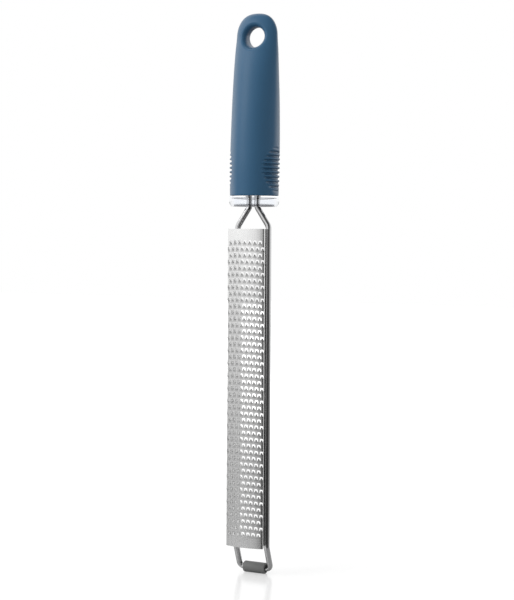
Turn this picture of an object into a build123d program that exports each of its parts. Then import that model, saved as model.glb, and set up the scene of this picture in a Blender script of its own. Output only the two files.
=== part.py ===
from build123d import *
from math import acos, atan2, cos, degrees, pi, radians, sin, sqrt, tan
import os

# A rasp zester: an arched, toothed blade on a bent wire frame, with a moulded handle and a rubber foot.
# Lengths are in millimetres and angles in degrees. The tool stands upright on its foot: Z runs up the
# tool, X across the blade, and the blade faces towards -Y. The handle's lower end is centred on the Z axis.

# Wire frame: one bent wire
wire_diameter = 3.5
rail_spacing = 20.4
tang_spacing = 5.2
tang_length = 60.0
neck_angle = 33.5
neck_bend_radius = 3.5
shoulder_bend_radius = 5.0
foot_bend_height = 17.7
foot_bend_angle = 22.0
foot_bend_radius = 5.0
foot_corner_radius = 2.9
rail_forward = 1.2

# Rubber sleeve on the crossbar
sleeve_diameter = 6.6
sleeve_chamfer = 0.6
sleeve_bore_gap = 0.05
sleeve_end_gap = 0.1
sleeve_recess_diameter = 5.0
sleeve_recess_depth = 0.8

# Blade sheet
blade_length = 190.1
blade_width = 24.3
blade_rise = 10.9
sheet_thickness = 0.45
crown_radius = 40.0
crown_facets = 5
blade_corner_radius = 1.7
lip_wrap_angle = 75.0
lip_gap = 0.05
blade_end_gap = 0.1

# Teeth of the blade
teeth_per_row = 7
row_pitch = 3.795
tooth_pitch = 3.18
top_plain_margin = 8.8
bottom_plain_margin = 6.7
tooth_width = 2.4
tooth_length = 1.9
tooth_rise = 0.8
tooth_mouth_slant = 0.4
tooth_skin = 0.3

# Clear core: the collar below the grip and the stem inside it
collar_diameter = 29.8
collar_height = 6.2
collar_bevel_height = 1.8
collar_bevel_depth = 0.9
collar_wall = 2.5
collar_plate = 1.2
stem_side_wall = 1.7
stem_face_wall = 2.0
stem_end_wall = 2.0
stem_corner_radius = 2.5
tang_gap = 0.05
neck_drop = 0.45

# Grip
grip_length = 109.6
grip_half_width = 15.0
grip_half_depth = 14.7
grip_lean = 3.1
stem_gap = 0.1

# Sections up the grip, as shares of its length, half width, half depth and lean
grip_section_shares = [
    (0.0, 0.973, 0.986, 0.0),
    (0.14, 1.0, 1.0, 0.11),
    (0.28, 0.990, 0.972, 0.28),
    (0.42, 0.975, 0.892, 0.43),
    (0.56, 0.955, 0.780, 0.55),
    (0.70, 0.925, 0.655, 0.66),
    (0.80, 0.905, 0.530, 0.80),
    (0.88, 0.882, 0.405, 0.92),
    (0.957, 0.705, 0.325, 0.99),
]
# The rounded top carries on from the last of them
top_section_shares = [
    (0.957, 0.705, 0.325, 0.99),
    (0.975, 0.600, 0.272, 1.0),
    (0.990, 0.430, 0.190, 1.0),
    (0.999, 0.200, 0.090, 1.0),
]
hole_lean_share = 0.89

# Hang hole and ribbed patches of the grip
hang_hole_diameter = 12.0
hang_hole_drop = 14.4
hang_hole_rounding = 3.1
rib_count = 10
rib_pitch = 2.6
rib_height = 0.4
rib_crest_width = 0.6
rib_root_width = 2.1
groove_depth = 1.3
rib_patch_height = 28.6
rib_patch_width = 22.8
rib_patch_rise = 15.6

# How far cutting shapes run past the faces that they cut
overrun = 1.0

# Heights and places worked out from the sizes above
wire_radius = wire_diameter / 2
rail_x = rail_spacing / 2
tang_x = tang_spacing / 2
rail_y = -rail_forward
bar_z = sleeve_diameter / 2
bar_y = rail_y + (foot_bend_height - bar_z) * tan(radians(foot_bend_angle))
rail_bottom = foot_bend_height + foot_bend_radius * tan(radians(foot_bend_angle / 2))
blade_bottom = rail_bottom + blade_end_gap
blade_top = blade_bottom + blade_length
shoulder_z = blade_top + blade_end_gap + shoulder_bend_radius * tan(radians(neck_angle / 2))
neck_z = shoulder_z + (rail_x - tang_x) / tan(radians(neck_angle))
collar_bottom = neck_z + neck_drop
collar_top = collar_bottom + collar_height
grip_top = collar_top + grip_length
tang_top = collar_top + tang_length
hang_hole_z = grip_top - hang_hole_drop
hang_hole_y = grip_lean * hole_lean_share
rib_patch_z = collar_top + rib_patch_rise


def make_wire_frame():
    """One wire, bent from tang to tang through both rails and the crossbar."""
    right_side = [
        (tang_x, rail_y, tang_top),
        (tang_x, rail_y, neck_z),
        (rail_x, rail_y, shoulder_z),
        (rail_x, rail_y, foot_bend_height),
        (rail_x, bar_y, bar_z),
    ]
    left_side = [(-x, y, z) for x, y, z in reversed(right_side)]
    bends = [neck_bend_radius, shoulder_bend_radius, foot_bend_radius, foot_corner_radius]
    path = FilletPolyline(*right_side, *left_side, radius=bends + bends[::-1])
    start = Plane(origin=right_side[0], z_dir=(0, 0, -1))
    return sweep(start * Circle(wire_radius), path=path)


def make_foot_sleeve():
    """A rubber tube pushed over the straight part of the crossbar."""
    length = rail_spacing - 2 * (foot_corner_radius + sleeve_end_gap)
    across = Plane(origin=(0, bar_y, bar_z), z_dir=(1, 0, 0))
    body = across * Cylinder(sleeve_diameter / 2, length)
    body = chamfer(body.edges(), sleeve_chamfer)
    body -= across * Cylinder(wire_radius + sleeve_bore_gap, length + 2 * overrun)
    # Round each end of the bore the rubber is opened wider, where the wire bends away
    for side in (-1, 1):
        recess = Cylinder(sleeve_recess_diameter / 2, 2 * sleeve_recess_depth)
        body -= across * Pos(0, 0, side * length / 2) * recess
    return body


def blade_half_line(outward):
    """Right half of the sheet's section, this far outside its middle: crown, corner, flange and lip."""
    crown = crown_radius - sheet_thickness / 2
    corner = blade_corner_radius - sheet_thickness / 2
    lip = wire_radius + lip_gap + sheet_thickness / 2
    crown_y = rail_y - blade_rise + crown_radius
    corner_x = blade_width / 2 - blade_corner_radius
    corner_y = crown_y - sqrt((crown - corner) ** 2 - corner_x ** 2)
    # The flange is the straight line that touches the corner on one side and the lip on the other
    reach = sqrt((corner_x - rail_x) ** 2 + (corner_y - rail_y) ** 2)
    heading = atan2(corner_y - rail_y, corner_x - rail_x) - acos((corner + lip) / reach)
    fold = atan2(corner_y - crown_y, corner_x)
    lip_turn = radians(lip_wrap_angle)

    def on_crown(angle):
        return ((crown + outward) * cos(angle), crown_y + (crown + outward) * sin(angle))

    def on_corner(angle):
        return (corner_x + (corner + outward) * cos(angle), corner_y + (corner + outward) * sin(angle))

    def on_lip(angle):
        return (rail_x + (lip - outward) * cos(angle), rail_y + (lip - outward) * sin(angle))

    flange_side = heading + pi
    folds = [(2 * number + 1) / crown_facets for number in range((crown_facets + 1) // 2)]
    crown_points = [on_crown(-pi / 2 + share * (fold + pi / 2)) for share in folds]
    return [
        *Polyline((0, crown_points[0][1]), *crown_points).edges(),
        ThreePointArc(on_corner(fold), on_corner((fold + flange_side) / 2), on_corner(flange_side)),
        Line(on_corner(flange_side), on_lip(heading)),
        ThreePointArc(on_lip(heading), on_lip(heading - lip_turn / 2), on_lip(heading - lip_turn)),
    ]


def make_blade():
    """Arched sheet with rows of raised teeth, each with its mouth open towards the handle."""
    outside = blade_half_line(sheet_thickness / 2)
    inside = blade_half_line(-sheet_thickness / 2)
    half = outside + inside + [Line(outside[-1] @ 1, inside[-1] @ 1)]
    section = make_face(half + [edge.mirror(Plane.YZ) for edge in half])
    sheet = extrude(Plane.XY.offset(blade_bottom) * section, blade_length)
    hood = make_ramp(sheet_thickness / 2)
    # The hollow is the same ramp, moved inwards by the skin along the slant of the mouth
    mouth_shift = tooth_skin * tooth_mouth_slant / tooth_rise
    hollow = Pos(0, tooth_skin, mouth_shift) * make_ramp(sheet_thickness + overrun)
    places = tooth_places()
    sheet = sheet.fuse(*[place * hood for place in places])
    return sheet.cut(*[place * hollow for place in places])


def tooth_places():
    """A place on the outside of the crown for each tooth; every second row has one less and sits between."""
    span = blade_length - top_plain_margin - bottom_plain_margin
    rows = round(span / row_pitch) + 1
    crown_y = rail_y - blade_rise + crown_radius
    places = []
    for row in range(rows):
        height = blade_bottom + bottom_plain_margin + row * row_pitch
        teeth = teeth_per_row - row % 2
        for column in range(teeth):
            turn = degrees((column - (teeth - 1) / 2) * tooth_pitch / crown_radius)
            places.append(Pos(0, crown_y, height) * Rot(0, 0, turn) * Pos(0, -crown_radius, 0))
    return places


def make_ramp(sink):
    """A pointed ramp that rises towards the handle, with its base this far below the sheet's surface."""
    mouth_z = tooth_length / 2
    corners = [(tooth_width / 2, mouth_z), (-tooth_width / 2, mouth_z), (0, -tooth_length / 2)]
    crest = Vector(0, -tooth_rise, mouth_z - tooth_mouth_slant)
    spread = (tooth_rise + sink) / tooth_rise
    base = [crest + (Vector(x, 0, z) - crest) * spread for x, z in corners]
    sides = [Face(Wire.make_polygon([base[i - 1], base[i], crest])) for i in range(len(base))]
    return Solid(Shell([Face(Wire.make_polygon(base)), *sides]))


def make_handle_core():
    """Clear collar, hollow towards the blade like a skirt, and the stem that holds both tangs."""
    radius = collar_diameter / 2
    outline = [
        (0, collar_top - collar_plate),
        (radius - collar_wall, collar_top - collar_plate),
        (radius - collar_wall, collar_bottom),
        (radius - collar_bevel_depth, collar_bottom),
        (radius, collar_bottom + collar_bevel_height),
        (radius, collar_top),
        (0, collar_top),
    ]
    collar = revolve(Plane.XZ * make_face(Polyline(*outline, close=True)), Axis.Z)
    core = collar + make_stem(0)
    tang_room = tang_top - collar_bottom + overrun
    for side in (-1, 1):
        hole = Cylinder(wire_radius + tang_gap, tang_room, align=(Align.CENTER, Align.CENTER, Align.MIN))
        core -= Pos(side * tang_x, rail_y, collar_bottom - overrun) * hole
    return core


def make_stem(gap):
    """The stem of the core, or with a gap the room for it in the grip."""
    width = tang_spacing + wire_diameter + 2 * (stem_side_wall + gap)
    depth = wire_diameter + 2 * (stem_face_wall + gap)
    length = tang_length + stem_end_wall + gap
    section = RectangleRounded(width, depth, stem_corner_radius + gap)
    return extrude(Pos(0, rail_y, collar_top) * section, length)


def make_grip():
    """Lofted handle, flattened towards its hang hole, with ribs on both sides near its lower end."""
    body = loft_sections(grip_section_shares) + loft_sections(top_section_shares)
    hole = Plane(origin=(0, hang_hole_y, hang_hole_z), z_dir=(0, 1, 0))
    body -= hole * Cylinder(hang_hole_diameter / 2, 2 * (grip_half_depth + overrun))
    body = fillet([edge for edge in body.edges() if is_hole_rim(edge)], hang_hole_rounding)
    floor = grip_half_width - groove_depth
    body -= make_rib_patch(floor, grip_half_width + overrun)
    body = body.fuse(*make_ribs())
    return body - make_stem(stem_gap)


def loft_sections(section_shares):
    """A loft through the ellipses that a table of shares gives."""
    sections = []
    for rise_share, width_share, depth_share, lean_share in section_shares:
        centre = Pos(0, lean_share * grip_lean, collar_top + rise_share * grip_length)
        sections.append(centre * Ellipse(width_share * grip_half_width, depth_share * grip_half_depth))
    return loft(sections)


def is_hole_rim(edge):
    """Whether an edge runs round the hang hole."""
    reach = hang_hole_diameter / 2
    box = edge.bounding_box()
    level = abs(box.center().Z - hang_hole_z) < reach / 2
    return level and box.size.X > reach and box.size.X < 2 * reach + overrun


def make_rib_patch(inner_radius, outer_radius):
    """The room of an oval patch on each side of the grip, between two radii from the grip's axis."""
    ring = Cylinder(outer_radius, rib_patch_height) - Cylinder(inner_radius, rib_patch_height)
    oval = extrude(Plane.YZ * Ellipse(rib_patch_width / 2, rib_patch_height / 2), outer_radius, both=True)
    return Pos(0, 0, rib_patch_z) * (ring & oval)


def make_ribs():
    """Rings with a narrow crest and a wide root, kept only inside the oval patches."""
    floor = grip_half_width - groove_depth
    root = floor - overrun
    crest = grip_half_width + rib_height
    patch = make_rib_patch(root, crest)
    half_root, half_crest = rib_root_width / 2, rib_crest_width / 2
    profile = [(root, -half_root), (floor, -half_root), (crest, -half_crest)]
    profile += [(x, -z) for x, z in reversed(profile)]
    ring = revolve(Plane.XZ * make_face(Polyline(*profile, close=True)), Axis.Z)
    heights = [rib_patch_z + (number - (rib_count - 1) / 2) * rib_pitch for number in range(rib_count)]
    return [Pos(0, 0, height) * ring & patch for height in heights]


makers = {
    "grip": make_grip,
    "handle_core": make_handle_core,
    "wire_frame": make_wire_frame,
    "blade": make_blade,
    "foot_sleeve": make_foot_sleeve,
}

os.makedirs("parts", exist_ok=True)
solids = {name: make() for name, make in makers.items()}

# The origin is below the middle of the whole tool, so what leans back is evened out between front and back
boxes = [solid.bounding_box() for solid in solids.values()]
front = min(box.min.Y for box in boxes)
back = max(box.max.Y for box in boxes)
for name, solid in solids.items():
    export_step(Pos(0, -(front + back) / 2, 0) * solid, f"parts/{name}.step")
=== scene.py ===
import math

import bmesh
import bpy
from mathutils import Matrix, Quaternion, Vector


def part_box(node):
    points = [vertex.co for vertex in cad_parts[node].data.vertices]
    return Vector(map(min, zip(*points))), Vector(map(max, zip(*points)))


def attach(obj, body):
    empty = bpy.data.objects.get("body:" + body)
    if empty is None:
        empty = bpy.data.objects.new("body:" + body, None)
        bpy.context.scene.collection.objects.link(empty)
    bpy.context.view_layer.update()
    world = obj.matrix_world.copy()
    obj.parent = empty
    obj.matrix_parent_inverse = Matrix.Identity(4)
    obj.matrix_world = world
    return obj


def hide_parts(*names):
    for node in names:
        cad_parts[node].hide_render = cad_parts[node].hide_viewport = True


# A rasp zester standing on its foot. Lengths are in metres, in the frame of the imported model:
# Z runs up the tool, X across the blade, and the blade faces towards -Y.
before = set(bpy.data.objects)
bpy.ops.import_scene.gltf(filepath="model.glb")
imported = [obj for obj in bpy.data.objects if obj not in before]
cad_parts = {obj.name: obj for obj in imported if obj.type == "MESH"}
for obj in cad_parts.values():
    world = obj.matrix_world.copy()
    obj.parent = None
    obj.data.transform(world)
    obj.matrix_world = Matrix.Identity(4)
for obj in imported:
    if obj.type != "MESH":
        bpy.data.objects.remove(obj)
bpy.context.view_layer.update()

# Fineness of round pieces, and the angles from which an edge shows as sharp
round_sides = 144
sharp_edge_angle = 40
blade_sharp_angle = 32
mould_sharp_angle = 50

# Wire
wire_radius = 0.00175
wire_sides = 28
bend_steps = 12
tang_spacing = 0.0052
neck_angle = 33.5
neck_bend_radius = 0.0035
shoulder_bend_radius = 0.005
foot_bend_height = 0.0177
foot_bend_radius = 0.005
foot_corner_radius = 0.0029
blade_end_gap = 0.0001

# Foot sleeve
sleeve_edge_radius = 0.0007
sleeve_edge_steps = 6
sleeve_recess_radius = 0.0025
sleeve_recess_depth = 0.0008

# Blade sheet; its points are merged where they round to the same place
sheet_thickness = 0.00045
crown_radius = 0.040
blade_corner_radius = 0.001
lip_wrap_angle = 75.0
lip_gap = 0.00005
flange_steps = 2
lip_steps = 5
margin_steps = 5
places_per_metre = 1e7

# Teeth: each sits in its own cell of the sheet
tooth_rows = 47
teeth_in_row = 7
row_pitch = 0.00378
tooth_pitch = 0.00325
first_row_height = 0.0079
row_bow = 0.0005
cell_steps = 8
tooth_ring_shares = [0.0, 0.5, 1.0]
slot_half_width = 0.00114
slot_top = 0.00165
slot_foot = -0.0003
slot_squareness = 3.8
tongue_half_width = 0.00048
tongue_top = 0.0009
tongue_root = -0.00055
tongue_root_half_width = 0.00075
tongue_rise = 0.0004
slot_edge_thinning = 0.0002

# Clear core
collar_edge_radius = 0.0004
collar_edge_steps = 4
collar_bevel_height = 0.0018
collar_bevel_depth = 0.0009
collar_bevel_angle = 60
collar_wall = 0.0025
collar_plate = 0.0012
collar_height = 0.0062
# Painted shade: heights and inward reach of the dark band painted into the clear plastic along the bore's
# lower rim
rim_shade_rises = (0.0018, 0.0008)
rim_shade_reach = 0.0012
stem_half_width = 0.00605
stem_half_depth = 0.00375
stem_squareness = 5.0
stem_gap = 0.0001

# Grip
grip_half_width = 0.015
grip_half_depth = 0.0147
grip_lean = 0.0031
grip_columns = 264
grip_row_step = 0.0012
grip_edge_radius = 0.0006
grip_edge_steps = 5
same_height = 1e-6
pocket_height = 0.0621
top_roundness = 2.6
top_start_share = 0.88
top_steps = 18

# Sections up the grip, as shares of its length, half width, half depth and lean
grip_section_shares = [
    (0.0, 0.973, 0.986, 0.0),
    (0.14, 1.0, 1.0, 0.11),
    (0.28, 0.995, 0.975, 0.28),
    (0.42, 0.985, 0.920, 0.43),
    (0.56, 0.970, 0.820, 0.55),
    (0.70, 0.940, 0.690, 0.66),
    (0.80, 0.915, 0.550, 0.80),
    (0.88, 0.882, 0.410, 0.92),
    (1.0, 0.870, 0.395, 1.0),
]

# Hang hole, with the block of the grip's grid that its rings replace
hole_radius = 0.006
hole_flare = 0.0031
hole_half_land = 0.001
hole_drop = 0.0143
hole_block_down = 0.011
hole_block_up = 0.0104
hole_block_columns = 44
hole_blend_steps = 6
hole_round_steps = 14

# Ribs of the grip
rib_count = 10
rib_pitch = 0.0026
rib_height = 0.0001
rib_crest_width = 0.0006
rib_root_width = 0.0021
groove_depth = 0.0012
rib_patch_height = 0.0286
rib_patch_width = 0.0228
rib_patch_rise = 0.0156
rib_patch_edge = 0.003
rib_row_steps = 12

# Gloss of the grip on its face and towards its rims
face_gloss = 0.07
rim_gloss = 0.62
rim_gloss_start = (0.24, 0.56)

# Spread of the values that a noise pattern mostly has
usual_spread = (0.3, 0.7)

# Camera
camera_azimuth = 25.5
camera_distance = 0.795
camera_height = 0.205
camera_aside = 0.00186
camera_lens = 79.3
camera_shift = -0.05
camera_roll = 0.35
camera_sensor_width = 36.0
camera_clip_start = 0.01
aim_aside = 0.00186
aim_height = 0.1842

# Light and floor
world_light = 0.62
world_dark_start = (-6.0, 16.0)
floor_dark_start = (6.0, 26.0)
dark_side_end = (110.0, 45.0)
dark_side_lean = 0.8
dark_side_depth = 0.9
floor_size = 6.0
floor_shade = 0.5
floor_lift = 0.47
floor_white_reach = (0.3, 1.2)
# Painted shade in the floor's colour, only where the floor is seen in a mirror
floor_mirror_drop = 0.3
floor_dark_reach = (0.02, 0.1)
key_lamp_place = (-0.62, -0.7, 0.75)
key_lamp_aim = (0, 0, 0.2)
key_lamp_size = (0.6, 0.6)
key_lamp_power = 5.0


def make_piece(name, points, faces, material, node, sharp_angle=sharp_edge_angle):
    """Makes a mesh object that stands for a node of the frame."""
    mesh = bpy.data.meshes.new(name)
    mesh.from_pydata(points, [], faces)
    work = bmesh.new()
    work.from_mesh(mesh)
    bmesh.ops.recalc_face_normals(work, faces=work.faces)
    work.to_mesh(mesh)
    work.free()
    mesh.shade_smooth()
    mesh.set_sharp_from_angle(angle=math.radians(sharp_angle))
    mesh.materials.append(material)
    piece = bpy.data.objects.new(name, mesh)
    bpy.context.scene.collection.objects.link(piece)
    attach(piece, "root")
    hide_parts(node)


def even_steps(start, end, steps):
    """Values from start to end in even steps, with both ends."""
    return [start + (end - start) * step / steps for step in range(steps + 1)]


def circle_turns(sides):
    """Turns of points that are evenly spaced round a circle."""
    return [math.tau * side / sides for side in range(sides)]


def smooth_step(value):
    """Zero below zero, one above one, and a soft ramp between."""
    value = min(max(value, 0), 1)
    return value * value * (3 - 2 * value)


def squarish(value, squareness):
    """A sine or cosine, changed so that a circle becomes a square with round corners."""
    return math.copysign(abs(value) ** (2 / squareness), value)


def band_faces(ring, next_ring):
    """Four-sided faces between two closed rings of as many points."""
    count = len(ring)
    return [(ring[i - 1], ring[i], next_ring[i], next_ring[i - 1]) for i in range(count)]


def fan_faces(ring, pole):
    """Three-sided faces from a closed ring to one point."""
    return [(ring[i - 1], ring[i], pole) for i in range(len(ring))]


def skin_rings(rings):
    """Points and faces of a closed body through rings of as many points, with its ends closed by fans."""
    points, faces, indices = [], [], []
    for ring in rings:
        indices.append(list(range(len(points), len(points) + len(ring))))
        points += ring
    for ring, next_ring in zip(indices, indices[1:]):
        faces += band_faces(ring, next_ring)
    for ring in (indices[0], indices[-1]):
        faces += fan_faces(ring, len(points))
        points.append(sum((points[i] for i in ring), Vector()) / len(ring))
    return points, faces


def rounded_path(corners, radii):
    """Points along straight runs that are joined by arcs, with one radius for each inner corner."""
    path = [corners[0]]
    for before, corner, after, radius in zip(corners, corners[1:], corners[2:], radii):
        incoming = (corner - before).normalized()
        outgoing = (after - corner).normalized()
        turn = incoming.angle(outgoing)
        start = corner - incoming * radius * math.tan(turn / 2)
        centre = corner + (outgoing - incoming).normalized() * radius / math.cos(turn / 2)
        axis = incoming.cross(outgoing).normalized()
        for step in range(bend_steps + 1):
            path.append(centre + Quaternion(axis, turn * step / bend_steps) @ (start - centre))
    path.append(corners[-1])
    return path


def tube_rings(path, radius, sides):
    """Rings of a round tube along a path, turned as little as possible from one to the next."""
    heading = (path[1] - path[0]).normalized()
    spoke = heading.orthogonal().normalized() * radius
    rings = []
    for number, centre in enumerate(path):
        before = path[max(number - 1, 0)]
        after = path[min(number + 1, len(path) - 1)]
        tangent = ((centre - before).normalized() + (after - centre).normalized()).normalized()
        spoke = heading.rotation_difference(tangent) @ spoke
        heading = tangent
        rings.append([centre + Quaternion(tangent, turn) @ spoke for turn in circle_turns(sides)])
    return rings


def rail_middle():
    """Middle of the right rail, seen from above."""
    lowest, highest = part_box("wire_frame")
    return Vector((highest.x - wire_radius, lowest.y + wire_radius))


def make_wire():
    """One wire from tang to tang, through both rails and the crossbar."""
    lowest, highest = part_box("wire_frame")
    blade_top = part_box("blade")[1].z
    rail_x, rail_y = rail_middle()
    tang_x = tang_spacing / 2
    slope = math.radians(neck_angle)
    shoulder_z = blade_top + blade_end_gap + shoulder_bend_radius * math.tan(slope / 2)
    neck_z = shoulder_z + (rail_x - tang_x) / math.tan(slope)
    right_side = [
        Vector((tang_x, rail_y, highest.z)),
        Vector((tang_x, rail_y, neck_z)),
        Vector((rail_x, rail_y, shoulder_z)),
        Vector((rail_x, rail_y, foot_bend_height)),
        Vector((rail_x, highest.y - wire_radius, lowest.z + wire_radius)),
    ]
    left_side = [Vector((-point.x, point.y, point.z)) for point in reversed(right_side)]
    bends = [neck_bend_radius, shoulder_bend_radius, foot_bend_radius, foot_corner_radius]
    path = rounded_path(right_side + left_side, bends + bends[::-1])
    points, faces = skin_rings(tube_rings(path, wire_radius, wire_sides))
    make_piece("wire_frame_polished", points, faces, wire_material(), "wire_frame")


def arc_points(centre, radius, first_angle, last_angle, steps):
    """Points of an arc in a plane, as pairs."""
    turns = [math.radians(angle) for angle in even_steps(first_angle, last_angle, steps)]
    return [(centre[0] + radius * math.cos(turn), centre[1] + radius * math.sin(turn)) for turn in turns]


def make_sleeve():
    """Rubber tube with rounded ends and a shallow recess round the wire at each end."""
    lowest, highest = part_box("foot_sleeve")
    half = (highest.x - lowest.x) / 2
    radius = (highest.z - lowest.z) / 2
    middle = (lowest + highest) / 2
    edge = sleeve_edge_radius
    right_end = [
        (half - sleeve_recess_depth, wire_radius),
        (half - sleeve_recess_depth, sleeve_recess_radius - edge / 2),
        (half, sleeve_recess_radius),
        *arc_points((half - edge, radius - edge), edge, 0, 90, sleeve_edge_steps),
    ]
    left_end = [(-along, out) for along, out in reversed(right_end)]
    turns = circle_turns(round_sides)
    rings = []
    for along, out in right_end + left_end:
        rings.append([middle + Vector((along, out * math.cos(turn), out * math.sin(turn))) for turn in turns])
    points, faces = skin_rings(rings)
    make_piece("foot_sleeve_rubber", points, faces, sleeve_material(), "foot_sleeve")


class BladeSection:
    """The outside of the sheet in cross section: crown, corner, flange and lip, from the middle outwards."""

    def __init__(self):
        blade_lowest, blade_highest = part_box("blade")
        self.rail = rail_middle()
        self.crown = Vector((0, blade_lowest.y + crown_radius))
        corner_x = blade_highest.x - blade_corner_radius
        drop = math.sqrt((crown_radius - blade_corner_radius) ** 2 - corner_x ** 2)
        self.corner = Vector((corner_x, self.crown.y - drop))
        self.lip_radius = wire_radius + lip_gap
        reach = self.corner - self.rail
        swing = math.acos((blade_corner_radius + self.lip_radius) / reach.length)
        self.fold = math.asin(corner_x / (crown_radius - blade_corner_radius))
        self.flange_turn = math.atan2(reach.y, reach.x) - swing + 1.5 * math.pi
        self.flange_start = self.corner + self.facing(self.flange_turn) * blade_corner_radius
        lip_start = self.rail - self.facing(self.flange_turn) * self.lip_radius
        self.crown_end = crown_radius * self.fold
        self.corner_end = self.crown_end + blade_corner_radius * (self.flange_turn - self.fold)
        self.flange_end = self.corner_end + (lip_start - self.flange_start).length
        self.lip_end = self.flange_end + self.lip_radius * math.radians(lip_wrap_angle)

    def facing(self, turn):
        """Outward direction, as a turn from straight forward towards the side."""
        return Vector((math.sin(turn), -math.cos(turn)))

    def at(self, way):
        """Point and outward direction, this far along the sheet from the crown's middle."""
        run = abs(way)
        if run <= self.crown_end:
            out = self.facing(run / crown_radius)
            spot = self.crown + out * crown_radius
        elif run <= self.corner_end:
            out = self.facing(self.fold + (run - self.crown_end) / blade_corner_radius)
            spot = self.corner + out * blade_corner_radius
        elif run <= self.flange_end:
            out = self.facing(self.flange_turn)
            spot = self.flange_start + Vector((-out.y, out.x)) * (run - self.corner_end)
        else:
            out = self.facing(self.flange_turn - (run - self.flange_end) / self.lip_radius)
            spot = self.rail - out * self.lip_radius
        side = math.copysign(1, way)
        return Vector((side * spot.x, spot.y, 0)), Vector((side * out.x, out.y, 0))


def arch_point(half_width, foot, top, turn):
    """Place on a squarish arch, at a turn from its right foot."""
    across = squarish(math.cos(turn), slot_squareness)
    up = squarish(math.sin(turn), slot_squareness)
    return Vector((half_width * across, foot + (top - foot) * up))


def cell_rings():
    """Rings of one tooth's cell: places across and up, and how far each is lifted and thinned.

    An arched slot goes round a tongue that is raised from its root to its free edge. The innermost ring
    follows the slot's arch and then the tongue's edge, and the outermost is the cell's own edge.
    """
    half_width, half_height = tooth_pitch / 2, row_pitch / 2
    across = even_steps(-half_width, half_width, cell_steps)
    up = even_steps(-half_height, half_height, cell_steps)
    middle = cell_steps // 2
    upper = [(half_width, place) for place in up[middle:-1]]
    upper += [(place, half_height) for place in reversed(across)]
    upper += [(-half_width, place) for place in up[-2:middle - 1:-1]]
    lower = [(-half_width, place) for place in up[middle - 1:0:-1]]
    lower += [(place, -half_height) for place in across]
    lower += [(half_width, place) for place in up[1:middle]]
    rings = []
    for share in tooth_ring_shares:
        ring = []
        for number, spot in enumerate(upper):
            start = arch_point(slot_half_width, slot_foot, slot_top, math.pi * number / (len(upper) - 1))
            place = start.lerp(Vector(spot), share / 2)
            ring.append((*place, 0.0, 1 - share))
        for turn in even_steps(math.pi, 0, len(lower) - 1):
            start = arch_point(tongue_half_width, slot_foot, tongue_top, turn)
            root = arch_point(tongue_root_half_width, tongue_root, tongue_root, turn)
            place = start.lerp(root, share)
            lift = tongue_rise * (place.y - tongue_root) / (tongue_top - tongue_root)
            ring.append((*place, lift, 1 - share))
        rings.append(ring)
    return rings + [[(*spot, 0.0, 0.0) for spot in upper + lower]]


class BladeSheet:
    """Collects the faces of the sheet's outside, and closes them with an inside and the cut edges."""

    def __init__(self):
        self.section = BladeSection()
        self.ends = [corner.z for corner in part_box("blade")]
        self.places = {}
        self.outside = []
        self.inside = []
        self.faces = []

    def place(self, way, height, lift=0.0, thinned=0.0):
        """Index of the point at this place on the sheet; places that meet share one point."""
        key = (round(way * places_per_metre), round(height * places_per_metre))
        if key not in self.places:
            spot, out = self.section.at(way)
            thickness = sheet_thickness - slot_edge_thinning * thinned
            outer = spot + out * lift + Vector((0, 0, height - self.bow(way, height)))
            self.places[key] = len(self.outside)
            self.outside.append(outer)
            self.inside.append(outer - out * thickness)
        return self.places[key]

    def bow(self, way, height):
        """How far the rows hang towards the sides, which fades out in the plain margins."""
        low, high = self.ends
        inside = min(height - low, high - height) / first_row_height
        return row_bow * (way / (teeth_in_row * tooth_pitch / 2)) ** 2 * smooth_step(inside)

    def add_grid(self, ways, heights):
        """A plain patch of the sheet."""
        for way, next_way in zip(ways, ways[1:]):
            for height, next_height in zip(heights, heights[1:]):
                self.faces.append((
                    self.place(way, height),
                    self.place(next_way, height),
                    self.place(next_way, next_height),
                    self.place(way, next_height),
                ))

    def add_tooth(self, rings, way, height):
        """A cell with a tooth round its middle."""
        indices = []
        for ring in rings:
            spots = []
            for across, up, lift, thinned in ring:
                spots.append(self.place(way + across, height + up, lift, thinned))
            indices.append(spots)
        for ring, next_ring in zip(indices, indices[1:]):
            self.faces += band_faces(next_ring, ring)

    def closed_mesh(self):
        """Points and faces of the whole sheet."""
        count = len(self.outside)
        edges = set()
        for face in self.faces:
            edges.update((face[i - 1], face[i]) for i in range(len(face)))
        inside = [tuple(index + count for index in reversed(face)) for face in self.faces]
        rims = [(b, a, a + count, b + count) for a, b in edges if (b, a) not in edges]
        return self.outside + self.inside, self.faces + inside + rims


def make_blade():
    """Arched sheet with staggered rows of raised, open teeth."""
    lowest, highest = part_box("blade")
    sheet = BladeSheet()
    section = sheet.section
    rings = cell_rings()
    half_span = (teeth_in_row + 1) / 2 * tooth_pitch
    half_cell = even_steps(half_span - tooth_pitch / 2, half_span, cell_steps // 2)
    levels = []
    for row in range(tooth_rows):
        middle = lowest.z + first_row_height + row * row_pitch
        heights = even_steps(middle - row_pitch / 2, middle + row_pitch / 2, cell_steps)
        levels += heights[:-1] if row < tooth_rows - 1 else heights
        count = teeth_in_row + row % 2
        for column in range(count):
            sheet.add_tooth(rings, (column - (count - 1) / 2) * tooth_pitch, middle)
        if count == teeth_in_row:
            sheet.add_grid(half_cell, heights)
            sheet.add_grid([-way for way in reversed(half_cell)], heights)

    columns = even_steps(-half_span, half_span, (teeth_in_row + 1) * cell_steps)
    bottom_margin = even_steps(lowest.z, levels[0], margin_steps)
    top_margin = even_steps(levels[-1], highest.z, margin_steps)
    sheet.add_grid(columns, bottom_margin)
    sheet.add_grid(columns, top_margin)

    side = even_steps(half_span, section.flange_end, flange_steps)
    side += even_steps(section.flange_end, section.lip_end, lip_steps)[1:]
    all_levels = bottom_margin[:-1] + levels + top_margin[1:]
    sheet.add_grid(side, all_levels)
    sheet.add_grid([-way for way in reversed(side)], all_levels)

    points, faces = sheet.closed_mesh()
    make_piece("blade_etched", points, faces, blade_material(), "blade", blade_sharp_angle)


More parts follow.
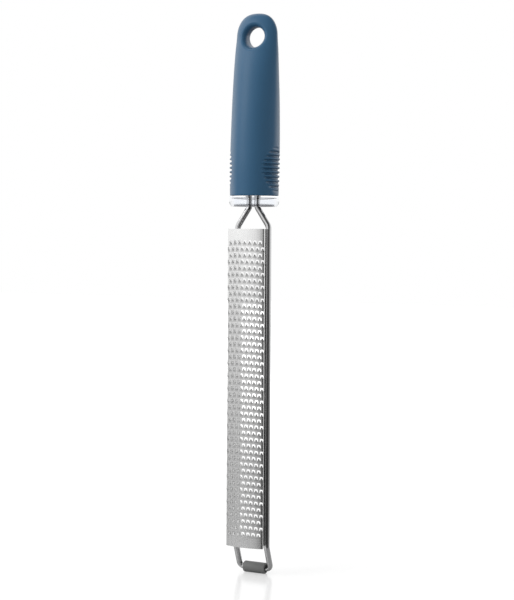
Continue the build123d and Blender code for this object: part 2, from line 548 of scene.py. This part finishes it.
def stem_ring(centre, gap, height, sides):
    """Ring of the stem's section, a rectangle with round corners, this much wider all round."""
    ring = []
    for turn in circle_turns(sides):
        ring.append(Vector((
            centre.x + squarish(math.cos(turn), stem_squareness) * (stem_half_width + gap),
            centre.y + squarish(math.sin(turn), stem_squareness) * (stem_half_depth + gap),
            height,
        )))
    return ring


def make_core():
    """Clear collar, hollow towards the blade, and the stem inside the grip."""
    lowest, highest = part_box("handle_core")
    middle_y = (lowest.y + highest.y) / 2
    radius = (highest.x - lowest.x) / 2
    bottom, top = lowest.z, lowest.z + collar_height
    inner = radius - collar_wall
    edge, steps = collar_edge_radius, collar_edge_steps
    bevel_start = radius - collar_bevel_depth - edge
    profile = [
        (inner / 2, top - collar_plate),
        *reversed(arc_points((inner - edge, top - collar_plate - edge), edge, 0, 90, steps)),
        *arc_points((inner + edge, bottom + edge), edge, 180, 270, steps),
        *arc_points((bevel_start, bottom + edge), edge, 270, 270 + collar_bevel_angle, steps),
        (radius, bottom + collar_bevel_height),
        *arc_points((radius - edge, top - edge), edge, 0, 90, steps),
    ]
    turns = circle_turns(round_sides)
    rings = []
    for out, height in profile:
        ring = []
        for turn in turns:
            ring.append(Vector((out * math.cos(turn), middle_y + out * math.sin(turn), height)))
        rings.append(ring)
    stem = Vector((0, rail_middle().y))
    rings.append(stem_ring(stem, 0, top, round_sides))
    rings.append(stem_ring(stem, 0, highest.z, round_sides))
    points, faces = skin_rings(rings)
    material = clear_material()
    make_piece("handle_core_clear", points, faces, material, "handle_core", mould_sharp_angle)


def table_value(table, rise, column):
    """A smooth curve through one column of a table whose first column is the rise."""
    last = len(table) - 1
    spot = next((number for number in range(last) if rise < table[number + 1][0]), last - 1)
    rows = [table[min(max(spot + step, 0), last)] for step in (-1, 0, 1, 2)]
    rises = [row[0] for row in rows]
    values = [row[column] for row in rows]
    span = rises[2] - rises[1]
    first_slope = (values[2] - values[0]) / (rises[2] - rises[0]) * span
    last_slope = (values[3] - values[1]) / (rises[3] - rises[1]) * span
    part = (rise - rises[1]) / span
    gain = values[2] - values[1]
    bend = (first_slope + last_slope - 2 * gain) * part + 3 * gain - 2 * first_slope - last_slope
    return values[1] + part * (first_slope + part * bend)


def hole_profile():
    """Steps to the hole's wide rim, as shares of the way, and then down its flared wall, as turns."""
    blend = [(share, 0.0) for share in even_steps(0, 1, hole_blend_steps)[1:]]
    flare = [(1.0, turn) for turn in even_steps(0, math.pi / 2, hole_round_steps)[1:]]
    return blend + flare


class GripShape:
    """The smooth outside of the grip: an ellipse at every height, before ribs and hang hole."""

    def __init__(self):
        self.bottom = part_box("handle_core")[0].z + collar_height
        self.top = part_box("grip")[1].z
        core_lowest, core_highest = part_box("handle_core")
        self.middle_y = (core_lowest.y + core_highest.y) / 2
        self.length = self.top - self.bottom
        self.hole_z = self.top - hole_drop
        self.patch_z = self.bottom + rib_patch_rise

    def half_sizes(self, height):
        """Half width, half depth and middle of the ellipse at a height."""
        rise = (height - self.bottom) / self.length
        closing = min(max((rise - top_start_share) / (1 - top_start_share), 0), 1)
        left = (1 - closing ** 2) ** (1 / top_roundness)
        width = grip_half_width * table_value(grip_section_shares, rise, 1) * left
        depth = grip_half_depth * table_value(grip_section_shares, rise, 2) * left
        middle = self.middle_y + grip_lean * table_value(grip_section_shares, rise, 3)
        return width, depth, middle

    def face(self, across, height, side):
        """Y of the front (side -1) or back (side 1) at a place seen from the front."""
        width, depth, middle = self.half_sizes(height)
        return middle + side * depth * math.sqrt(max(1 - (across / width) ** 2, 0))

    def hole_point(self, offset, side, way_share, turn):
        """Point on the way from the block's edge to the hole, and then on the flared wall."""
        rim = hole_radius + hole_flare
        distance = offset.length + (rim - offset.length) * way_share - hole_flare * math.sin(turn)
        spot = offset.normalized() * distance
        height = self.hole_z + spot.y
        y = self.face(spot.x, height, side)
        wall = self.half_sizes(self.hole_z)[2] + side * hole_half_land
        return Vector((spot.x, y + (wall - y) * (1 - math.cos(turn)), height))

    def rib_sink(self, y, height):
        """How deep the surface lies between the ribs; on a rib's crest it is raised instead."""
        spot = (height - self.patch_z) / rib_pitch + rib_count / 2
        beside = abs(spot - math.floor(spot) - 0.5) * rib_pitch
        flank = (rib_root_width - rib_crest_width) / 2
        groove = smooth_step((beside - rib_crest_width / 2) / flank)
        up = (height - self.patch_z) / (rib_patch_height / 2)
        along = (y - self.middle_y) / (rib_patch_width / 2)
        inside = (1 - math.hypot(up, along)) * rib_patch_width / 2
        return (groove * (groove_depth + rib_height) - rib_height) * smooth_step(inside / rib_patch_edge)

    def ring(self, height, inset=0.0):
        """Ring of the grip at a height, with its ribs."""
        width, depth, middle = self.half_sizes(height)
        ring = []
        for turn in circle_turns(grip_columns):
            out = Vector((math.cos(turn) * depth, math.sin(turn) * width, 0)).normalized()
            y = middle + math.sin(turn) * depth
            sink = inset + self.rib_sink(y, height)
            ring.append(Vector((math.cos(turn) * width, y, height)) - out * sink)
        return ring


def grip_heights(shape):
    """Heights of the grid's rows: fine on the ribs, and at the hole's block as it needs."""
    patch_low = shape.patch_z - (rib_count + 1) / 2 * rib_pitch
    patch_high = shape.patch_z + (rib_count + 1) / 2 * rib_pitch
    block_low = shape.hole_z - hole_block_down
    block_high = shape.hole_z + hole_block_up
    rib_rows = (rib_count + 1) * rib_row_steps
    heights = even_steps(patch_low, patch_high, rib_rows)
    heights += even_steps(patch_high, block_low, round((block_low - patch_high) / grip_row_step))[1:]
    heights += even_steps(block_low, block_high, round((block_high - block_low) / grip_row_step))[1:]
    top_start = shape.bottom + top_start_share * shape.length
    first_turn = math.asin((block_high - top_start) / (shape.top - top_start))
    for turn in even_steps(first_turn, math.pi / 2, top_steps)[1:-1]:
        heights.append(top_start + (shape.top - top_start) * math.sin(turn))
    return heights


def make_grip():
    """Soft moulded handle with a rounded hang hole, ribbed sides and a pocket for the core's stem."""
    shape = GripShape()
    block_low = shape.hole_z - hole_block_down
    block_high = shape.hole_z + hole_block_up
    points, faces = [], []

    def add_points(ring):
        """Keeps a ring's points and gives back their numbers."""
        points.extend(ring)
        return list(range(len(points) - len(ring), len(points)))

    # Bottom: the pocket's end and wall, the ring-shaped face on the collar and its rounded edge
    stem = Vector((0, rail_middle().y))
    pocket_top = add_points(stem_ring(stem, stem_gap, shape.bottom + pocket_height, grip_columns))
    pocket_bottom = add_points(stem_ring(stem, stem_gap, shape.bottom, grip_columns))
    faces.extend(fan_faces(pocket_top, len(points)))
    points.append(Vector((stem.x, stem.y, shape.bottom + pocket_height)))
    rows = [pocket_top, pocket_bottom]
    edge = grip_edge_radius
    for inset, rise in arc_points((edge, edge), edge, 270, 180, grip_edge_steps):
        rows.append(add_points(shape.ring(shape.bottom + rise, inset)))
    for row, next_row in zip(rows, rows[1:]):
        faces.extend(band_faces(row, next_row))

    # Outside, without the two blocks round the hang hole
    heights = grip_heights(shape)
    front = 3 * grip_columns // 4
    grid = [rows[-1]] + [add_points(shape.ring(height)) for height in heights]
    levels = [shape.bottom + edge] + heights
    for number in range(len(grid) - 1):
        in_block = levels[number] > block_low - same_height and levels[number + 1] < block_high + same_height
        for face_number, face in enumerate(band_faces(grid[number], grid[number + 1])):
            aside = min(abs(face_number - 0.5 - front), abs(face_number - 0.5 - grip_columns + front))
            if not (in_block and aside < hole_block_columns):
                faces.append(face)
    faces.extend(fan_faces(grid[-1], len(points)))
    points.append(Vector((0, shape.half_sizes(shape.top)[2], shape.top)))

    # Rings round the hang hole, from the block's edge to the wall, in front and behind
    block_rows = []
    for row, level in zip(grid, levels):
        if block_low - same_height < level < block_high + same_height:
            block_rows.append(row)
    first, last = front - hole_block_columns, front + hole_block_columns
    outline = [(0, column) for column in range(first, last)]
    outline += [(row, last) for row in range(len(block_rows) - 1)]
    outline += [(len(block_rows) - 1, column) for column in range(last, first, -1)]
    outline += [(row, first) for row in range(len(block_rows) - 1, 0, -1)]
    lands = []
    for side in (-1, 1):
        loop = []
        for row, column in outline:
            loop.append(block_rows[row][column if side < 0 else (grip_columns - column) % grip_columns])
        offsets = [Vector((points[i].x, points[i].z - shape.hole_z)) for i in loop]
        for way_share, turn in hole_profile():
            ring = [shape.hole_point(offset, side, way_share, turn) for offset in offsets]
            next_loop = add_points(ring)
            faces.extend(band_faces(loop, next_loop))
            loop = next_loop
        lands.append(loop)
    faces.extend(band_faces(*lands))
    make_piece("grip_soft", points, faces, grip_material(), "grip", mould_sharp_angle)


def new_material(name):
    """A material with an empty node tree, its shader and its output."""
    material = bpy.data.materials.new(name)
    material.use_nodes = True
    nodes = material.node_tree.nodes
    return material, nodes, material.node_tree.links, nodes["Principled BSDF"]


def add_noise(nodes, links, scale, detail, stretch=(1, 1, 1)):
    """A noise pattern in the object's own coordinates; scale is per metre."""
    place = nodes.new("ShaderNodeTexCoord")
    mapping = nodes.new("ShaderNodeMapping")
    mapping.inputs["Scale"].default_value = stretch
    noise = nodes.new("ShaderNodeTexNoise")
    noise.inputs["Scale"].default_value = scale
    noise.inputs["Detail"].default_value = detail
    links.new(place.outputs["Object"], mapping.inputs["Vector"])
    links.new(mapping.outputs["Vector"], noise.inputs["Vector"])
    return noise.outputs["Fac"]


def add_range(nodes, links, source, low, high):
    """Maps a pattern from its usual spread to a range."""
    span = nodes.new("ShaderNodeMapRange")
    span.inputs["From Min"].default_value = usual_spread[0]
    span.inputs["From Max"].default_value = usual_spread[1]
    span.inputs["To Min"].default_value = low
    span.inputs["To Max"].default_value = high
    links.new(source, span.inputs["Value"])
    return span.outputs["Result"]


def add_soft_range(nodes, links, source, low, high):
    """Rises softly from zero at the low value to one at the high value, or falls where they are swapped."""
    span = nodes.new("ShaderNodeMapRange")
    span.interpolation_type = "SMOOTHSTEP"
    span.inputs["From Min"].default_value = low
    span.inputs["From Max"].default_value = high
    links.new(source, span.inputs["Value"])
    return span.outputs["Result"]


def add_math(nodes, links, operation, *sources, clamp=True):
    """The outcome of a sum on sources and plain numbers; with clamp it stays between zero and one."""
    node = nodes.new("ShaderNodeMath")
    node.operation = operation
    node.use_clamp = clamp
    for socket, source in zip(node.inputs, sources):
        if isinstance(source, float):
            socket.default_value = source
        else:
            links.new(source, socket)
    return node.outputs["Value"]


def add_bump(nodes, links, source, shader, strength, distance):
    """A bump from a pattern on the shader's normal."""
    bump = nodes.new("ShaderNodeBump")
    bump.inputs["Strength"].default_value = strength
    bump.inputs["Distance"].default_value = distance
    links.new(source, bump.inputs["Height"])
    links.new(bump.outputs["Normal"], shader.inputs["Normal"])


def add_tint(nodes, links, source, shader, low, high):
    """A colour between two tints, by a pattern that is zero at the low one and one at the high one."""
    mix = nodes.new("ShaderNodeMix")
    mix.data_type = "RGBA"
    mix.inputs["A"].default_value = (*low, 1)
    mix.inputs["B"].default_value = (*high, 1)
    links.new(source, mix.inputs["Factor"])
    links.new(mix.outputs["Result"], shader.inputs["Base Color"])


def grip_material():
    """Blue soft-touch plastic with a fine moulded grain."""
    material, nodes, links, shader = new_material("blue_soft_plastic")
    cloud = add_noise(nodes, links, scale=60, detail=3)
    add_tint(nodes, links, cloud, shader, low=(0.032, 0.116, 0.222), high=(0.038, 0.130, 0.246))
    grain = add_noise(nodes, links, scale=5200, detail=2)
    links.new(add_range(nodes, links, grain, low=0.5, high=0.6), shader.inputs["Roughness"])
    add_bump(nodes, links, grain, shader, strength=0.25, distance=0.00004)
    shader.inputs["Specular IOR Level"].default_value = 0.25
    shader.inputs["Coat Roughness"].default_value = 0.35
    shader.inputs["Coat IOR"].default_value = 2.0
    facing = nodes.new("ShaderNodeLayerWeight")
    turned = add_soft_range(nodes, links, facing.outputs["Facing"], *rim_gloss_start)
    turned = add_math(nodes, links, "MULTIPLY", turned, rim_gloss)
    links.new(add_math(nodes, links, "ADD", turned, face_gloss), shader.inputs["Coat Weight"])
    return material


def clear_material():
    """Clear moulded plastic with faint flow marks, and painted shade: a near-black band painted along the
    bore's lower rim.
    """
    material, nodes, links, shader = new_material("clear_plastic")
    lowest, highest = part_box("handle_core")
    bore = (highest.x - lowest.x) / 2 - collar_wall
    flow = add_noise(nodes, links, scale=160, detail=2, stretch=(1, 1, 0.3))
    place = nodes.new("ShaderNodeTexCoord")
    split = nodes.new("ShaderNodeSeparateXYZ")
    links.new(place.outputs["Object"], split.inputs["Vector"])
    flat = nodes.new("ShaderNodeVectorMath")
    flat.operation = "MULTIPLY"
    flat.inputs[1].default_value = (1, 1, 0)
    links.new(place.outputs["Object"], flat.inputs[0])
    reach = nodes.new("ShaderNodeVectorMath")
    reach.operation = "LENGTH"
    links.new(flat.outputs["Vector"], reach.inputs[0])
    # Painted shade: mask of the band low down and close to the bore
    low = add_soft_range(nodes, links, split.outputs["Z"], *(lowest.z + rise for rise in rim_shade_rises))
    inner = add_soft_range(nodes, links, reach.outputs["Value"], bore + rim_shade_reach, bore)
    rim = add_math(nodes, links, "MULTIPLY", low, inner)
    links.new(add_range(nodes, links, flow, low=0.0, high=0.02), shader.inputs["Roughness"])
    # The mask paints the clear plastic near-black along the bore's lower rim, as shade
    add_tint(nodes, links, rim, shader, low=(0.95, 0.965, 0.99), high=(0.05, 0.05, 0.055))
    add_bump(nodes, links, flow, shader, strength=0.1, distance=0.00005)
    shader.inputs["Transmission Weight"].default_value = 1.0
    shader.inputs["IOR"].default_value = 1.12
    return material


def wire_material():
    """Polished steel wire with faint drawing marks along it."""
    material, nodes, links, shader = new_material("polished_steel_wire")
    marks = add_noise(nodes, links, scale=900, detail=3, stretch=(1, 1, 0.04))
    links.new(add_range(nodes, links, marks, low=0.10, high=0.20), shader.inputs["Roughness"])
    add_tint(nodes, links, marks, shader, low=(0.60, 0.60, 0.605), high=(0.68, 0.68, 0.685))
    add_bump(nodes, links, marks, shader, strength=0.1, distance=0.00002)
    shader.inputs["Metallic"].default_value = 1.0
    return material


def blade_material():
    """Satin stainless sheet with a fine grain along the blade."""
    material, nodes, links, shader = new_material("satin_steel_sheet")
    grain = add_noise(nodes, links, scale=2600, detail=3, stretch=(1, 1, 0.05))
    links.new(add_range(nodes, links, grain, low=0.22, high=0.30), shader.inputs["Roughness"])
    add_tint(nodes, links, grain, shader, low=(0.90, 0.90, 0.90), high=(0.93, 0.93, 0.925))
    add_bump(nodes, links, grain, shader, strength=0.04, distance=0.00001)
    shader.inputs["Metallic"].default_value = 1.0
    return material


def sleeve_material():
    """Dark grey rubber with a matte grain."""
    material, nodes, links, shader = new_material("dark_rubber")
    grain = add_noise(nodes, links, scale=3000, detail=3)
    links.new(add_range(nodes, links, grain, low=0.5, high=0.7), shader.inputs["Roughness"])
    add_tint(nodes, links, grain, shader, low=(0.17, 0.172, 0.17), high=(0.23, 0.232, 0.23))
    add_bump(nodes, links, grain, shader, strength=0.3, distance=0.00005)
    return material


def add_ray_kinds(nodes, links):
    """Two switches: rays that see the stage directly or through a clear piece, and mirrored rays."""
    path = nodes.new("ShaderNodeLightPath")
    clear = add_math(nodes, links, "MINIMUM", path.outputs["Transmission Depth"], 1.0)
    mirror = add_math(nodes, links, "MINIMUM", path.outputs["Glossy Depth"], 1.0)
    through = add_math(nodes, links, "SUBTRACT", clear, mirror)
    seen = add_math(nodes, links, "MAXIMUM", path.outputs["Is Camera Ray"], through)
    smooth = add_math(nodes, links, "MAXIMUM", path.outputs["Is Glossy Ray"], clear)
    mirrored = add_math(nodes, links, "MULTIPLY", smooth, mirror)
    return seen, mirrored


def add_dark_side(nodes, links, spot, start_angles):
    """How dark the stage is in a mirror, by how far a spot lies to the right; it leans back with height."""
    split = nodes.new("ShaderNodeSeparateXYZ")
    links.new(spot, split.inputs["Vector"])
    lean = add_math(nodes, links, "MULTIPLY", split.outputs["Z"], dark_side_lean, clamp=False)
    ahead = add_math(nodes, links, "SUBTRACT", lean, split.outputs["Y"], clamp=False)
    turn = add_math(nodes, links, "ARCTAN2", split.outputs["X"], ahead, clamp=False)
    start = add_soft_range(nodes, links, turn, *(math.radians(angle) for angle in start_angles))
    end = add_soft_range(nodes, links, turn, *(math.radians(angle) for angle in dark_side_end))
    return add_math(nodes, links, "MULTIPLY", start, end)


def floor_material():
    """Pale gloss that shows white, apart from the tool's shadow and a faint mirror image; in mirrored rays
    its colour has painted shade, darker away from the tool and darker still on the right side.
    """
    material, nodes, links, shader = new_material("pale_floor")
    shader.inputs["Roughness"].default_value = 0.2
    shader.inputs["IOR"].default_value = 1.7
    shader.inputs["Emission Color"].default_value = (1, 1, 1, 1)
    seen, mirrored = add_ray_kinds(nodes, links)
    place = nodes.new("ShaderNodeTexCoord")
    reach = nodes.new("ShaderNodeVectorMath")
    reach.operation = "LENGTH"
    links.new(place.outputs["Object"], reach.inputs[0])
    away = add_soft_range(nodes, links, reach.outputs["Value"], *floor_dark_reach)
    # Painted shade for mirrored rays: the floor's colour drops away from the tool, and more in a sector to
    # the right
    dark = add_dark_side(nodes, links, place.outputs["Object"], floor_dark_start)
    dark = add_math(nodes, links, "MULTIPLY", dark, away)
    dark = add_math(nodes, links, "MULTIPLY", dark, mirrored)
    drop = add_math(nodes, links, "MULTIPLY", mirrored, floor_mirror_drop)
    drop = add_math(nodes, links, "MULTIPLY", drop, away)
    shade = add_math(nodes, links, "SUBTRACT", floor_shade, drop)
    links.new(add_math(nodes, links, "SUBTRACT", shade, dark), shader.inputs["Base Color"])
    far = add_soft_range(nodes, links, reach.outputs["Value"], *floor_white_reach)
    lift = add_math(nodes, links, "ADD", far, floor_lift)
    links.new(add_math(nodes, links, "MULTIPLY", seen, lift), shader.inputs["Emission Strength"])
    return material


def make_floor():
    """Flat floor below the tool."""
    half = floor_size / 2
    mesh = bpy.data.meshes.new("floor")
    corners = [(-half, -half, 0), (half, -half, 0), (half, half, 0), (-half, half, 0)]
    mesh.from_pydata(corners, [], [(0, 1, 2, 3)])
    floor = bpy.data.objects.new("floor", mesh)
    bpy.context.scene.collection.objects.link(floor)
    mesh.materials.append(floor_material())


def make_world():
    """White for what is seen, a plain level for what it lights, and a dark part in what metal mirrors."""
    world = bpy.data.worlds.new("studio")
    world.use_nodes = True
    nodes, links = world.node_tree.nodes, world.node_tree.links
    background = nodes["Background"]
    background.inputs["Color"].default_value = (1, 1, 1, 1)
    seen, mirrored = add_ray_kinds(nodes, links)
    place = nodes.new("ShaderNodeTexCoord")
    dark = add_dark_side(nodes, links, place.outputs["Generated"], world_dark_start)
    dark = add_math(nodes, links, "MULTIPLY", dark, dark_side_depth)
    mirror_light = add_math(nodes, links, "SUBTRACT", mirrored, dark)
    plain = add_math(nodes, links, "SUBTRACT", world_light, seen)
    plain = add_math(nodes, links, "SUBTRACT", plain, mirrored)
    light = add_math(nodes, links, "ADD", seen, mirror_light)
    light = add_math(nodes, links, "ADD", light, plain)
    links.new(light, background.inputs["Strength"])
    bpy.context.scene.world = world


def add_lamp(name, place, aim, size, power):
    """A soft rectangular lamp that points at a place."""
    lamp = bpy.data.lights.new(name, "AREA")
    lamp.shape = "RECTANGLE"
    lamp.size, lamp.size_y = size
    lamp.energy = power
    holder = bpy.data.objects.new(name, lamp)
    holder.location = place
    holder.rotation_euler = (Vector(aim) - Vector(place)).to_track_quat("-Z", "Y").to_euler()
    bpy.context.scene.collection.objects.link(holder)


def make_camera():
    """Camera at the photograph's angle: a little to the right of the blade and slightly above."""
    azimuth = math.radians(camera_azimuth)
    ahead = Vector((-math.sin(azimuth), math.cos(azimuth), 0))
    right = Vector((math.cos(azimuth), math.sin(azimuth), 0))
    camera = bpy.data.cameras.new("camera")
    camera.lens = camera_lens
    camera.sensor_width = camera_sensor_width
    camera.shift_y = camera_shift
    camera.clip_start = camera_clip_start
    holder = bpy.data.objects.new("camera", camera)
    place = -ahead * camera_distance + right * camera_aside + Vector((0, 0, camera_height))
    aim = right * aim_aside + Vector((0, 0, aim_height))
    holder.location = place
    turn = (aim - place).to_track_quat("-Z", "Y")
    roll = Quaternion((0, 0, 1), math.radians(camera_roll))
    holder.rotation_euler = (turn @ roll).to_euler()
    bpy.context.scene.collection.objects.link(holder)
    bpy.context.scene.camera = holder


make_wire()
make_sleeve()
make_blade()
make_core()
make_grip()
make_floor()
make_world()
add_lamp("key_lamp", key_lamp_place, key_lamp_aim, key_lamp_size, key_lamp_power)
make_camera()

bpy.context.scene.view_settings.view_transform = "Standard"
